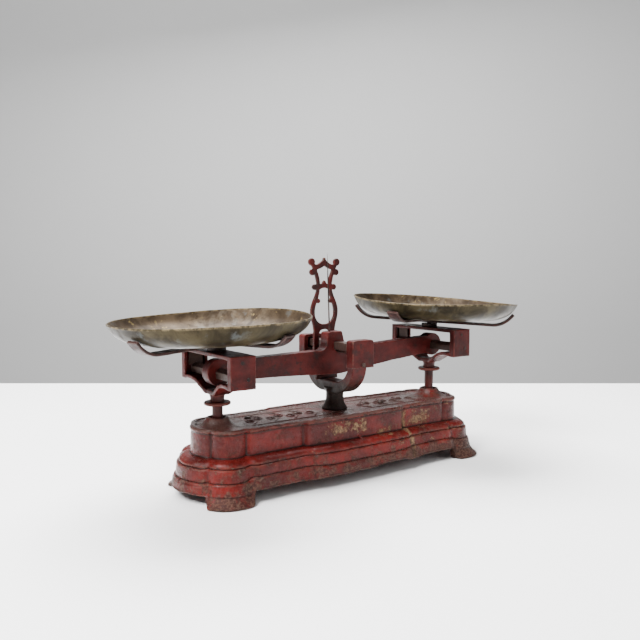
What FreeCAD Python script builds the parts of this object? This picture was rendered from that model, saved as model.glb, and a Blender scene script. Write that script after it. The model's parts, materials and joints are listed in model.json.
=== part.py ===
"""Bench scale of the Roberval kind: two brass pans on an equal-armed beam over a hollow cast base.

X runs along the scale, Y to its rear and Z up; the origin is on the floor under the middle of the
base. The beam is drawn where it rests, its left end a little down. Lengths are in millimetres.
"""

import FreeCAD, Part
import math
import os
import re

Vector = FreeCAD.Vector
Rotation = FreeCAD.Rotation
Placement = FreeCAD.Placement
X_AXIS, Y_AXIS, Z_AXIS = Vector(1, 0, 0), Vector(0, 1, 0), Vector(0, 0, 1)

SIZES = {
    "arm_span": 200.0,           # centre knife edge to an end knife edge
    "rest_tilt": 1.98,           # left end down, degrees
    "pivot_height": 180.0,       # centre knife edge above the floor
    "linkage_drop": 130.0,       # knife edges down to the stay pins
    "rim_top": 94.5,             # base casting, top of its rim
    "plate_drop": 2.0,           # top plate below the rim
    "plate_gauge": 5.0,
    "wall_gauge": 6.0,
    "end_reach": 236.0,          # base rim, middle of an end
    "side_reach": 56.0,          # base rim, middle of a side
    "skirt_height": 13.0,        # floor to the skirt, at the ends
    "collar_rise": 10.5,
    "collar_foot": 25.0,
    "collar_crown": 15.0,
    "collar_bore": 12.0,
    "screw_bore": 2.5,
    "stud_radius": 8.0,
    "fork_outer": 70.0,
    "fork_inner": 54.0,
    "fork_half_width": 19.5,
    "fork_top": 203.0,
    "fork_block_foot": 163.0,
    "fork_pocket": 65.5,
    "bearing_pin": 3.0,
    "frame_near": 26.0,          # indicator frame, its near face from the middle plane
    "frame_gauge": 4.0,
    "bracket_reach": 26.0,
    "stay_pin": 5.0,
    "beam_gauge": 18.0,
    "boss_radius": 18.5,
    "knife_sink": 6.9,           # knife edge to the middle of an end boss
    "knife_half_width": 6.5,
    "centre_knife_reach": 64.0,
    "end_knife_reach": 69.5,
    "needle_radius": 1.0,
    "needle_height": 150.0,
    "carrier_reach": 74.6,
    "cheek_depth": 10.0,
    "cheek_gauge": 4.0,
    "cheek_half_width": 18.2,
    "carrier_top": 22.1,
    "carrier_foot": -21.9,
    "table_gauge": 5.0,
    "yoke_gauge": 5.0,
    "stem_radius": 7.3,
    "disc_radius": 18.5,
    "disc_gauge": 5.0,
    "disc_drop": 51.8,           # knife edge to the underside of the dust disc
    "link_pin": 3.5,
    "hub_radius": 13.0,
    "strap_width": 19.5,
    "strap_gauge": 4.0,
    "strap_bend": 36.0,          # inside radius where a strap curls up
    "strap_base": 29.0,
    "pan_radius": 136.9,
    "pan_depth": 28.0,
    "pan_gauge": 1.6,
    "pan_base": 37.9,
    "running_gap": 0.05,
    "open_gap": 0.3,
}

doc = FreeCAD.newDocument("bench_scale")
sheet = doc.addObject("Spreadsheet::Sheet", "Sizes")
subparts = []


def fill_sheet():
    """Every driving dimension is one row: its name and its plain number."""
    for row, (alias, number) in enumerate(SIZES.items(), 1):
        sheet.set(f"A{row}", alias)
        sheet.set(f"B{row}", str(number))
        sheet.setAlias(f"B{row}", alias)
    doc.recompute()


def size(alias):
    """The number that the sheet holds under an alias."""
    return float(sheet.get(alias))


def formula(text):
    """Turn 'fork_outer - 4' into an expression that reads the sheet."""
    return re.sub(r"[a-z_]{4,}", lambda word: "Sizes." + word.group(0), str(text))


def bind(thing, **formulas):
    """Bind properties to the sheet; at=(x, y, z) binds the place."""
    for axis, text in zip("xyz", formulas.pop("at", ())):
        thing.setExpression(f"Placement.Base.{axis}", formula(text))
    for name, text in formulas.items():
        thing.setExpression(name, formula(text))
    return thing


def turned(thing, axis, angle):
    """Turn a feature about an axis through its own origin."""
    thing.Placement = Placement(thing.Placement.Base, Rotation(axis, angle))
    return thing


def box(length, width, height, at):
    """A block whose middle is over the place given and whose underside is at its z."""
    x, y, z = at
    place = (f"{x} - ({length}) / 2", f"{y} - ({width}) / 2", z)
    block = doc.addObject("Part::Box", "block")
    return bind(block, Length=length, Width=width, Height=height, at=place)


def rod(radius, height, at, axis=Z_AXIS):
    """A round bar that starts at a place and runs along an axis."""
    bar = doc.addObject("Part::Cylinder", "bar")
    bar.Placement = Placement(Vector(), Rotation(Z_AXIS, axis))
    return bind(bar, Radius=radius, Height=height, at=at)


def cone(foot, crown, height, at):
    """An upright cone."""
    piece = doc.addObject("Part::Cone", "cone")
    return bind(piece, Radius1=foot, Radius2=crown, Height=height, at=at)


def fused(*pieces):
    """One solid from several."""
    whole = doc.addObject("Part::MultiFuse", "joined")
    whole.Shapes = list(pieces)
    whole.Refine = True
    return whole


def cut(base, *tools):
    """A solid less one or more tools."""
    result = doc.addObject("Part::Cut", "cut")
    result.Base = base
    result.Tool = tools[0] if len(tools) == 1 else fused(*tools)
    return result


def common(one, other):
    """What two solids share."""
    result = doc.addObject("Part::Common", "shared")
    result.Base = one
    result.Tool = other
    return result


def node(label, solid, at=None, turn=None):
    """Name a finished sub-part and put it in its place."""
    solid.Label = label
    if turn:
        solid.Placement = Placement(Vector(), turn)
    if at:
        bind(solid, at=at)
    subparts.append(solid)
    return solid


def outline(*path):
    """A closed outline: corners as (a, b), and arcs as (middle a, middle b, end a, end b)."""
    edges = []
    here = start = Vector(*path[0])
    for step in path[1:] + (path[0],):
        end = Vector(*step[-2:])
        if len(step) == 4:
            edges.append(Part.Arc(here, Vector(*step[:2]), end))
        elif here.distanceToPoint(end) > 1e-6:
            edges.append(Part.LineSegment(here, end))
        here = end
    return edges


def sketch(edges, plane="XY"):
    """A sketch of an outline in one of the origin planes, given by that plane's two axes."""
    turns = {"XY": Rotation(), "XZ": Rotation(X_AXIS, 90), "YZ": Rotation(0.5, 0.5, 0.5, 0.5)}
    drawing = doc.addObject("Sketcher::SketchObject", "outline")
    drawing.addGeometry(edges)
    drawing.Placement = Placement(Vector(), turns[plane])
    return drawing


def plate(edges, plane, gauge, centre=0.0):
    """An outline made solid, half its gauge to each side of a middle distance."""
    slab = doc.addObject("Part::Extrusion", "slab")
    slab.Base = sketch(edges, plane)
    slab.DirMode = "Normal"
    slab.Solid = True
    slab.Symmetric = True
    bind(slab, LengthFwd=gauge)
    axis = {"XY": (0, 0, centre), "XZ": (0, centre, 0), "YZ": (centre, 0, 0)}[plane]
    return bind(slab, at=axis)


def turning(edges):
    """An outline given as radius and height, turned about the vertical axis."""
    lathe = doc.addObject("Part::Revolution", "turning")
    lathe.Source = sketch(edges, "XZ")
    lathe.Axis = Z_AXIS
    lathe.Angle = 360
    lathe.Solid = True
    return lathe


# ---------------------------------------------------------------- base casting

def plan(grow):
    """Quarter of the base's plan, moved out by grow: middle, hollow side panel, corner lobe, end lobe."""
    side, end = size("side_reach"), size("end_reach")
    corners = {
        "middle": (88, side - 1.5, 0, 1),
        "step": (90.5, side - 5.5, 0, 1),
        "hollow": (136, side - 7.5, 0, 1),
        "shoulder": (177, side - 5, 0, 1),
        "crease": (184, side - 11, 0.15, 0.95),
        "lobe": (end - 27, side - 9.5, 0.49, 0.87),
        "valley": (end - 11.2, 29, 0.62, 0.78),
        "end": (end, 0, 1, 0),
    }
    return {key: (x + grow * p, y + grow * q) for key, (x, y, p, q) in corners.items()}


def base_outline(grow):
    """The whole plan, one quarter after another."""
    at = plan(grow)
    side = size("side_reach") + grow

    def flip(key, sx, sy):
        return at[key][0] * sx, at[key][1] * sy

    path = [flip("middle", -1, -1), (0, -side, *flip("middle", 1, -1))]
    for sx, sy in ((1, -1), (-1, 1)):
        out = [flip("step", sx, sy), (*flip("hollow", sx, sy), *flip("shoulder", sx, sy)),
               flip("crease", sx, sy), (*flip("lobe", sx, sy), *flip("valley", sx, sy)),
               (*flip("end", sx, 0), *flip("valley", sx, -sy)),
               (*flip("lobe", sx, -sy), *flip("crease", sx, -sy)), flip("shoulder", sx, -sy),
               (*flip("hollow", sx, -sy), *flip("step", sx, -sy)), flip("middle", sx, -sy)]
        path += out
        if sx == 1:
            path.append((0, side, *flip("middle", -1, 1)))
    return outline(*path)


def stacked(levels):
    """A solid through the base's plan at several heights, each level a height and how far it grows."""
    loft = doc.addObject("Part::Loft", "stack")
    loft.Sections = [bind(sketch(base_outline(grow)), at=(0, 0, height)) for height, grow in levels]
    loft.Solid = True
    loft.Ruled = True
    return loft


def foot(sx, sy):
    """One corner foot, splayed out under its lobe."""
    sections = []
    for height, grow, inset in (("skirt_height + 6", 27.0, 18), (0, 39, 22)):
        at = plan(grow)
        crease, lobe, valley = ((at[key][0] * sx, at[key][1] * sy) for key in ("crease", "lobe", "valley"))
        inner = [(valley[0] - sx * inset, valley[1] - sy * inset / 4),
                 (crease[0] + sx * 4, crease[1] - sy * inset)]
        edges = outline(crease, (*lobe, *valley), *inner)
        sections.append(bind(sketch(edges), at=(0, 0, height)))
    loft = doc.addObject("Part::Loft", "foot")
    loft.Sections = sections
    loft.Solid = True
    loft.Ruled = True
    return loft


def base_casting():
    """Hollow casting: rim, upright wall, rounded moulding, two bands, skirt and four feet."""
    outside = stacked((
        ("rim_top", -2.0), ("rim_top - 1.2", 0.2), ("rim_top - 4", 0.8), ("rim_top - 6", -0.6),
        (57.5, 0.0), (57.0, 5.5), (55.0, 11.5), (51.5, 16.0), (48.0, 17.0), (46.2, 16.2),
        (45.6, 19.5), (33.2, 21.5), (32.4, 23.5), ("skirt_height", 26.5)))
    cavity = stacked((
        ("rim_top - plate_drop - plate_gauge", -8.0), (57.0, -6.5), (45.0, 9.0), (30.0, 15.0),
        ("skirt_height - 1", 20.0)))
    recess = stacked((("rim_top + 1", -6.0), ("rim_top - plate_drop", -7.0)))
    span, rise = "arm_span", "collar_rise + plate_drop"
    shell = cut(outside, cavity, recess)
    collars = [cone("collar_foot", "collar_crown", rise, (f"{side} * {span}", 0, "rim_top - plate_drop"))
               for side in (-1, 1)]
    feet = [foot(sx, sy) for sx in (-1, 1) for sy in (-1, 1)]
    body = fused(shell, *collars, *feet)
    holes = [rod("collar_bore", "plate_gauge + collar_rise + 20", (f"{side} * {span}", 0, "rim_top - 12"))
             for side in (-1, 1)]
    holes.append(rod("stud_radius + running_gap", 20, (0, 0, "rim_top - 12")))
    holes += [rod("screw_bore + running_gap", 20, (x, y, "rim_top - 12")) for x, y in PLATE_SCREWS]
    arches = [end_arch(side) for side in (-1, 1)] + [side_arch()]
    node("base_casting", cut(body, *holes, *arches))


PLATE_SCREWS = ((-145, 14), (86, -8))


def end_arch(side):
    """The sweep cut under an end, between its two feet."""
    edges = outline((-58, -1), (58, -1), (56, 9, 48, 14), (0, 12, -48, 14), (-56, 9, -58, -1))
    return plate(edges, "YZ", 90, f"{side} * (end_reach + 10)")


def side_arch():
    """The low sweep under both long sides, between the feet."""
    edges = outline((-188, -1), (188, -1), (186, 15, 178, 18.5), (0, 17, -178, 18.5),
                    (-186, 15, -188, -1))
    return plate(edges, "XZ", 300)


def plate_screws():
    """Two round slotted screws in the top plate."""
    for name, (x, y) in zip(("left_plate_screw", "right_plate_screw"), PLATE_SCREWS):
        head = turning(outline((0, 0), (5, 0), (4.2, 2.2, 0, 3)))
        bind(head, at=(x, y, "rim_top - plate_drop"))
        shank = rod("screw_bore", 14, (x, y, "rim_top - plate_drop - 14"))
        slot = box(12, 1.2, 3, (x, y, "rim_top - plate_drop + 1.6"))
        node(name, cut(fused(head, shank), slot))


# ---------------------------------------------------------------- column, fork and indicator frame

def column_fork():
    """Flared column that opens into a U fork, with a closed pocket for the knife in each arm's block."""
    plate_z = size("rim_top") - size("plate_drop")
    column = turning(outline(
        (0, plate_z), (19.5, plate_z), (19.5, plate_z + 2), (14.5, 104, 13.5, 114), (14, 120, 17, 126),
        (0, 126)))
    bowl = outline((-62.5, 168), (-54, 140, -20, 120), (20, 120), (54, 140, 62.5, 168), (50, 168),
                   (42, 148, 18, 137), (-18, 137), (-42, 148, -50, 168))
    bowl = plate(bowl, "YZ", 25)
    rib = box(40, 6, 24, (0, "frame_near - 3", 136))
    pieces = [column, bowl, rib, rod("stud_radius", 24, (0, 0, "rim_top - plate_drop - 22"))]
    depth = "fork_outer - fork_inner"
    for side in (-1, 1):
        middle = f"{side} * (fork_outer + fork_inner) / 2"
        height = "fork_top - fork_block_foot"
        block = box("2 * fork_half_width", depth, height, (0, middle, "fork_block_foot"))
        rounded = doc.addObject("Part::Fillet", "rounded_block")
        rounded.Base = block
        doc.recompute()
        rounded.Edges = [(number, 4.0, 4.0) for number in upper_edges(block.Shape)]
        pieces.append(rounded)
    pocket_middle = "(fork_pocket + fork_inner - 1) / 2"
    pockets = [box(24, "fork_pocket - fork_inner + 1", 27, (0, f"{side} * {pocket_middle}", 172))
               for side in (-1, 1)]
    pin_holes = [rod("bearing_pin + running_gap", 40, (0, side * 50, 167.5), Y_AXIS * side)
                 for side in (-1, 1)]
    screw_holes = [rod("screw_bore + running_gap", 40, (x, 10, 150), Y_AXIS) for x in FRAME_SCREWS]
    node("column_fork", cut(fused(*pieces), *pockets, *pin_holes, *screw_holes))


def upper_edges(shape):
    """Numbers of a block's edges along Y at its top."""
    top = shape.BoundBox.ZMax
    return [number for number, edge in enumerate(shape.Edges, 1)
            if min(v.Z for v in edge.Vertexes) > top - 1e-6
            and abs(edge.tangentAt(edge.FirstParameter).y) > 0.9]


FRAME_SCREWS = (-15, 15)


def fork_bearings():
    """Steel V blocks that the centre knife's ends rock in, each held by a pin."""
    vee = outline((-11.5, 172.3), (11.5, 172.3), (11.5, 184), (0, 179.7), (-11.5, 184))
    for name, side in (("front", -1), ("rear", 1)):
        middle = f"{side} * (fork_pocket + fork_inner + 2) / 2"
        block = plate(vee, "XZ", "fork_pocket - fork_inner - 2.6", middle)
        node(f"{name}_fork_bearing", block)
        pin = rod("bearing_pin", 17, (0, f"{side} * (fork_inner + 0.5)", 167.5), Y_AXIS * side)
        node(f"{name}_bearing_pin", pin)


def column_fastening():
    """Washer and square nut on the column's stud, under the top plate."""
    under = "rim_top - plate_drop - plate_gauge"
    bore = "stud_radius + running_gap"
    washer = rod(15, 1.6, (0, 0, f"{under} - 1.6"))
    node("column_washer", cut(washer, rod(bore, 4, (0, 0, f"{under} - 3"))))
    nut = box(26, 26, 10, (0, 0, f"{under} - 11.6"))
    node("column_nut", cut(nut, rod(bore, 14, (0, 0, f"{under} - 13"))))


def smooth(*points):
    """A smooth edge through points given as x and z."""
    curve = Part.BSplineCurve()
    curve.interpolate([Vector(x, 0, z) for x, z in points])
    return curve.toShape()


def straight(*points):
    """A straight edge between two points given as x and z."""
    return Part.makeLine(*(Vector(x, 0, z) for x, z in points))


def mirrored_face(*edges):
    """A face whose outline is these edges and their mirror image in x = 0."""
    both = list(edges) + [edge.mirror(Vector(), X_AXIS) for edge in edges]
    return Part.Face(Part.Wire(Part.__sortEdges__(both)))


# Round scroll ends on the lyre: x, z and radius
LYRE_SCROLLS = ((23.6, 316.8, 5.7), (22.3, 301, 4.8), (17.8, 278.2, 4.6), (11.8, 256.8, 3.7), (0, 321.5, 2.0))


def indicator_frame():
    """Flat cast lyre that the needle reads against: two legs, an oval, a waist bar and a crest."""
    foot_z = 143.0
    body = mirrored_face(
        straight((0, foot_z), (20, foot_z)), straight((20, foot_z), (20, 205)),
        smooth((20, 205), (20.3, 216), (23.6, 228), (25.6, 240), (23, 253), (17, 266), (14, 276), (14.6, 287),
               (18, 299), (20.5, 305.5), (25, 312.5)),
        straight((25, 312.5), (20.5, 315.5)),
        smooth((20.5, 315.5), (16, 313), (8, 315.8), (3, 319.5), (0, 322.5)))
    windows = (
        mirrored_face(
            straight((0, 288.5), (1.6, 287.5)), straight((1.6, 287.5), (4, 283.2)),
            straight((4, 283.2), (8.6, 283.2)),
            smooth((8.6, 283.2), (9.6, 291), (12, 299), (14.5, 305)),
            smooth((14.5, 305), (7.5, 307), (0, 311))),
        mirrored_face(
            smooth((0, 276.8), (5, 276.2), (9, 274)),
            smooth((9, 274), (10.6, 266), (14.5, 255), (18.2, 243), (16.6, 230), (9, 222.5), (0, 220.8))),
        mirrored_face(
            straight((0, foot_z - 1), (10.3, foot_z - 1)), straight((10.3, foot_z - 1), (10.3, 204)),
            smooth((10.3, 204), (8, 210), (0, 212.5))),
    )
    gauge = Vector(0, size("frame_gauge"), 0)
    solid = body.extrude(gauge)
    for window in windows:
        solid = solid.cut(window.extrude(gauge))
    for x, z, radius in LYRE_SCROLLS:
        for side in ((-1, 1) if x else (1,)):
            solid = solid.fuse(Part.makeCylinder(radius, gauge.y, Vector(side * x, 0, z), Y_AXIS))
    solid = solid.removeSplitter()
    screw_hole = size("screw_bore") + size("running_gap")
    for x in FRAME_SCREWS:
        solid = solid.cut(Part.makeCylinder(screw_hole, 20, Vector(x, -5, 150), Y_AXIS))
    frame = doc.addObject("Part::Feature", "lyre")
    frame.Shape = solid.Solids[0] if len(solid.Solids) == 1 else solid
    node("indicator_frame", frame, at=(0, "frame_near", 0))


def indicator_screws():
    """Two cheese-head screws through the lyre's feet into the fork's rib."""
    pieces = []
    for x in FRAME_SCREWS:
        shank = rod("screw_bore", "frame_gauge + 6", (x, "frame_near - 6", 150), Y_AXIS)
        head = rod(4.2, 2.6, (x, "frame_near + frame_gauge", 150), Y_AXIS)
        slot = box(9, 1.4, 1, (x, "frame_near + frame_gauge + 2.2", 149.5))
        pieces.append(cut(fused(shank, head), slot))
    node("indicator_screws", compound(*pieces))


def compound(*pieces):
    """One or more solids kept as they are drawn, so that the node can be placed as a whole."""
    group = doc.addObject("Part::Compound", "group")
    group.Links = list(pieces)
    return group


# ---------------------------------------------------------------- stay and its bracket, inside the base

def stay_bracket():
    """Two hanging lugs under the plate, which carry the stay's middle pin, and their screws."""
    under = "rim_top - plate_drop - plate_gauge"
    low = size("pivot_height") - size("linkage_drop")
    screws = []
    for name, side in (("front", -1), ("rear", 1)):
        lug = outline((-10, low + 4), (0, low - 10, 10, low + 4), (12, 82), (-12, 82))
        lug = plate(lug, "XZ", 5, f"{side} * (bracket_reach - 3)")
        flange = box(44, 14, 5.5, (0, f"{side} * (bracket_reach + 1)", f"{under} - 5.5"))
        pin_hole = rod("stay_pin", 80, (0, -40, low), Y_AXIS)
        bores = [rod("screw_bore + running_gap", 12, (x, f"{side} * (bracket_reach + 3)", f"{under} - 9"))
                 for x in (-16, 16)]
        node(f"{name}_stay_bracket", cut(fused(lug, flange), pin_hole, *bores))
        for x in (-16, 16):
            y = f"{side} * (bracket_reach + 3)"
            shank = rod("screw_bore", 5.5, (x, y, f"{under} - 5.5"))
            head = rod(4.5, 3, (x, y, f"{under} - 8.5"))
            screws.append(fused(shank, head))
    node("stay_bracket_screws", compound(*screws))
    node("stay_pivot_pin", rod("stay_pin", "2 * bracket_reach + 4", (0, "-bracket_reach - 2", low), Y_AXIS))


def stay_bar():
    """The hidden lower link: a flat bar that forks round each stem's foot, as long as the beam's arms."""
    span = size("arm_span")
    gap, pin = size("stem_radius") + 0.6, size("link_pin")
    body = outline((-span - 9, 0), (-span, 9, -span + 10, 8), (-24, 8), (0, 14, 24, 8), (span - 10, 8),
                   (span, 9, span + 9, 0), (span, -9, span - 10, -8), (24, -8), (0, -14, -24, -8),
                   (-span + 10, -8), (-span, -9, -span - 9, 0))
    bar = plate(body, "XZ", 2 * (gap + 4))
    slots = [box(36, 2 * gap, 40, (side * (span + 4), 0, -20)) for side in (-1, 1)]
    thin = [box(span - 60, 8, 40, (side * (span / 2 + 2), y, -20)) for side in (-1, 1) for y in (-9.9, 9.9)]
    holes = [rod(f"{pin} + open_gap", 60, (side * span, -30, 0), Y_AXIS) for side in (-1, 1)]
    holes.append(rod("stay_pin + running_gap", 60, (0, -30, 0), Y_AXIS))
    tilt = Rotation(Y_AXIS, -size("rest_tilt"))
    node("stay_bar", cut(bar, *slots, *thin, *holes), at=(0, 0, "pivot_height - linkage_drop"), turn=tilt)


# ---------------------------------------------------------------- beam and knives

def tilted(label, solid):
    """A piece of the beam, drawn about the centre knife edge and then tilted as it rests."""
    return node(label, solid, at=(0, 0, "pivot_height"), turn=Rotation(Y_AXIS, -size("rest_tilt")))


def knife(half_width, depth, reach, x=0, up=1):
    """A knife bar of five sides, its edge on the X-Y plane through the pivot."""
    w, flank = half_width, half_width * 0.77
    edges = outline((x, 0), (x + w, -up * flank), (x + w, -up * depth), (x - w, -up * depth),
                    (x - w, -up * flank))
    return plate(edges, "XZ", f"2 * {reach}")


def beam():
    """Straight-topped, deep-bellied bar with a lug in the middle and a round boss at each end."""
    span = size("arm_span")
    bar = outline((-span, 8), (-38, 6), (-24, 8, -19.5, 20), (-18.5, 29), (-17.6, 31.2, -15, 32), (6, 32),
                  (8.2, 31.2, 9, 29), (12.5, 13), (16, 5.5), (span, 8), (span, -19.5), (110, -24.2),
                  (55, -28.5, 8, -32.6), (0, -33, -8, -32.6), (-55, -28.5, -110, -24.2), (-span, -19.5))
    pieces = [plate(bar, "XZ", "beam_gauge")]
    for side in (-1, 1):
        at = (side * span, "-beam_gauge / 2", "-knife_sink")
        pieces.append(rod("boss_radius", "beam_gauge", at, Y_AXIS))
    slots = [knife(7, 16.5, "beam_gauge", 0, -1), needle_bar("needle_radius", 18)]
    slots += [knife(size("knife_half_width"), 14, "beam_gauge", side * span) for side in (-1, 1)]
    slots.append(rod("screw_bore", 20, (-9, 0, 24), Y_AXIS))
    tilted("beam", cut(fused(*pieces), *slots))
    tilted("centre_knife", knife(7, 16.5, "centre_knife_reach", 0, -1))
    for name, side in (("left", -1), ("right", 1)):
        tilted(f"{name}_end_knife", knife(size("knife_half_width"), 14, "end_knife_reach", side * span))


def needle_bar(radius, start):
    """The needle's round wire, upright from inside the lug."""
    return rod(radius, f"needle_height - {start}", (-9, 0, start))


def needle():
    """A thin needle that stands in the lug and tapers to a point, and the screw that holds it."""
    low, high = 18, "needle_height - 18 - 40"
    wire = fused(rod("needle_radius", high, (-9, 0, low)),
                 cone("needle_radius", 0.15, 40, (-9, 0, f"{low} + {high}")))
    tilted("needle", wire)
    head = rod(3.6, 1.8, (-9, "beam_gauge / 2", 24), Y_AXIS)
    slot = box(9, 1.6, 0.9, (-9, "beam_gauge / 2 + 1.8", 23.6))
    shank = rod("screw_bore", "beam_gauge / 2 - needle_radius", (-9, "needle_radius", 24), Y_AXIS)
    tilted("needle_screw", cut(fused(shank, head), slot))


# ---------------------------------------------------------------- carriers, spiders and pans

def edge_place(side):
    """An end knife's edge at rest, as formulas for x, y and z."""
    return (f"{side} * arm_span * cos(rest_tilt)", 0, f"pivot_height + {side} * arm_span * sin(rest_tilt)")


def carrier_frame():
    """Stirrup: a table across the top, a boxed cheek at each end and a yoke that dips to the stem."""
    height = "carrier_top - carrier_foot"
    wide = "2 * cheek_half_width"
    pieces = [box(wide, "2 * carrier_reach", "table_gauge", (0, 0, "carrier_top - table_gauge"))]
    for side in (-1, 1):
        middle = f"{side} * (carrier_reach - cheek_depth / 2)"
        cheek = box(wide, "cheek_depth", height, (0, middle, "carrier_foot"))
        inside = f"{side} * (carrier_reach - cheek_gauge - cheek_depth / 2)"
        hollow = box(f"{wide} - 2 * cheek_gauge", "cheek_depth", f"{height} - table_gauge - cheek_gauge",
                     (0, inside, "carrier_foot + cheek_gauge"))
        pieces.append(cut(cheek, hollow))
    drop = outline((-66, -21.9), (-46, -21, -34, -24), (-13, -37), (13, -37), (34, -24), (46, -21, 66, -21.9),
                   (66, -17.4), (44, -15.8, 30, -20.5), (12, -31), (-12, -31), (-30, -20.5),
                   (-44, -15.8, -66, -17.4))
    waist = outline((-18.2, -70), (18.2, -70), (17, -40, 11.5, -8), (11.5, 8), (17, 40, 18.2, 70),
                    (-18.2, 70), (-17, 40, -11.5, 8), (-11.5, -8), (-17, -40, -18.2, -70))
    yoke = common(plate(drop, "YZ", 40), plate(waist, "XY", 60, -26))
    bore = rod("stem_radius - 1.5 + running_gap", 20, (0, 0, -50))
    return cut(fused(*pieces, yoke), bore, rod(4, 40, (0, 0, 0)))


def carrier_stem():
    """Turned stem: a collar under the yoke, a seat for the disc, then a plain rod down to the stay pin."""
    foot = -size("linkage_drop") - 9
    seat = -size("disc_drop") + size("disc_gauge")
    rod_r = size("stem_radius")
    body = turning(outline((0, foot), (rod_r - 1, foot), (rod_r, foot + 1), (rod_r, seat), (10.2, seat),
                           (9.6, seat + 3, 11.3, -37.1), (rod_r - 1.5, -37.1), (rod_r - 1.5, -31.6),
                           (0, -31.6)))
    return cut(body, rod("link_pin", 60, (0, -30, "-linkage_drop"), Y_AXIS))


def dust_disc():
    """Loose-edged disc that keeps dust out of the base's collar."""
    low, gauge, radius = -size("disc_drop"), size("disc_gauge"), size("disc_radius")
    inner = size("stem_radius") + size("running_gap")
    return turning(outline((inner, low), (radius - 2, low),
                           (radius, low + gauge / 2, radius - 2, low + gauge), (inner, low + gauge)))


def strap(flat, tip):
    """Flat iron strap under the pan: level out to flat, then curled up, with a short straight tip."""
    gauge, bend, turn = size("strap_gauge"), size("strap_bend"), math.radians(50)

    def point(angle, radius, run=0.0):
        along, up = radius * math.sin(angle), bend - radius * math.cos(angle)
        return flat + along + run * math.cos(turn), up + run * math.sin(turn)

    top = [point(turn / 2, bend), point(turn, bend), point(turn, bend, tip)]
    low = [point(turn, bend + gauge, tip), point(turn, bend + gauge), point(turn / 2, bend + gauge)]
    right = [(flat, 0), (*top[0], *top[1]), top[2], low[0], low[1], (*low[2], flat, -gauge)]
    flipped = [(-x, z) for x, z in top + low]
    left = [(-flat, -gauge), (*flipped[5], *flipped[4]), flipped[3], flipped[2], flipped[1],
            (*flipped[0], -flat, 0)]
    return plate(outline(*right, *left), "XZ", "strap_width")


def pan_shell():
    """Spun brass dish: flat floor, rounded shoulder, flaring wall and a rim rolled over a little."""
    radius, depth, gauge = size("pan_radius"), size("pan_depth"), size("pan_gauge")
    outer = [(0, 0), (86, 0), (112, 4.4, 127.5, 13.2), (radius - 1.6, depth - 2)]
    inner = [(radius - 1.6, depth), (radius - 3.2, depth - 2), (126.2, 14.2), (111.5, 5.9, 86, gauge),
             (0, gauge)]
    rim = (radius, depth - 0.8, radius - 1.6, depth)
    return turning(outline(*outer, rim, *inner[1:]))


def carriers():
    """Both carriers, each with its bearings, rivets, stem, disc, link pin, spider and pan."""
    tilts = {"left": (-2.0, 0.5), "right": (1.9, 2.4)}
    offsets = {"left": -6.5, "right": 8.4}
    headings = {"left": (17, 110), "right": (132, 17)}
    for name, side in (("left", -1), ("right", 1)):
        place = edge_place(side)
        node(f"{name}_carrier_frame", carrier_frame(), at=place)
        node(f"{name}_knife_bearings", knife_bearings(), at=place)
        node(f"{name}_bearing_rivets", bearing_rivets(), at=place)
        node(f"{name}_stem", carrier_stem(), at=place)
        node(f"{name}_dust_disc", dust_disc(), at=place)
        pin = rod("link_pin", "2 * stem_radius + 12", (0, "-stem_radius - 6", "-linkage_drop"), Y_AXIS)
        node(f"{name}_link_pin", compound(pin), at=place)
        hub = cut(rod("hub_radius", "strap_base - carrier_top - 1.1", (0, 0, "carrier_top")),
                  rod(4, 60, (0, 0, 0)))
        node(f"{name}_spider_hub", hub, at=place)
        bolt = rod(4, "strap_base + 7.4 - carrier_top + table_gauge", (0, 0, "carrier_top - table_gauge"))
        node(f"{name}_spider_bolt", compound(bolt), at=place)
        lean = Rotation(Y_AXIS, tilts[name][0]) * Rotation(X_AXIS, tilts[name][1])
        spider_and_pan(name, side, lean, offsets[name], headings[name])


# Each spider's straps: name, layer, flat length each way and tip length
STRAPS = (("lower", 1, 98, 7.6), ("upper", 2, 101, 2.4))


def spider_and_pan(name, side, lean, offset, headings):
    """Two crossed straps and the pan on them, leaning together and set outwards a little."""
    x, y, z = edge_place(side)
    shift = 0.8 * offset
    for (level, layers, flat, tip), heading in zip(STRAPS, headings):
        blank = turned(strap(flat, tip), Z_AXIS, heading)
        bind(blank, at=(0, 0, f"{layers} * strap_gauge"))
        hole = rod(4.4, 60, (-shift, 0, -20))
        at = (f"{x} + {shift}", y, f"{z} + strap_base")
        node(f"{name}_{level}_strap", cut(blank, hole), at=at, turn=lean)
    node(f"{name}_pan", pan_shell(), at=(f"{x} + {offset}", y, f"{z} + pan_base"), turn=lean)


def knife_bearings():
    """Two inverted V blocks, one in each cheek, that hang the carrier on its knife."""
    top = size("carrier_top") - size("table_gauge")
    vee = outline((-10, -3.8), (0, 0.2), (10, -3.8), (10, top), (-10, top))
    middle = "(carrier_reach - cheek_gauge - 3)"
    return compound(plate(vee, "XZ", 5.6, f"-1 * {middle}"), plate(vee, "XZ", 5.6, middle))


def bearing_rivets():
    """Two dark rivet heads on the outside of each cheek."""
    heads = []
    for side in (-1, 1):
        for x, z in ((-1.5, 13.5), (7, -8.5)):
            heads.append(rod(2.6, 0.7, (x, f"{side} * carrier_reach", z), Y_AXIS * side))
    return compound(*heads)


def main():
    fill_sheet()
    base_casting()
    plate_screws()
    column_fork()
    fork_bearings()
    column_fastening()
    indicator_frame()
    indicator_screws()
    stay_bracket()
    stay_bar()
    beam()
    needle()
    carriers()
    doc.recompute()
    export()


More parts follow.
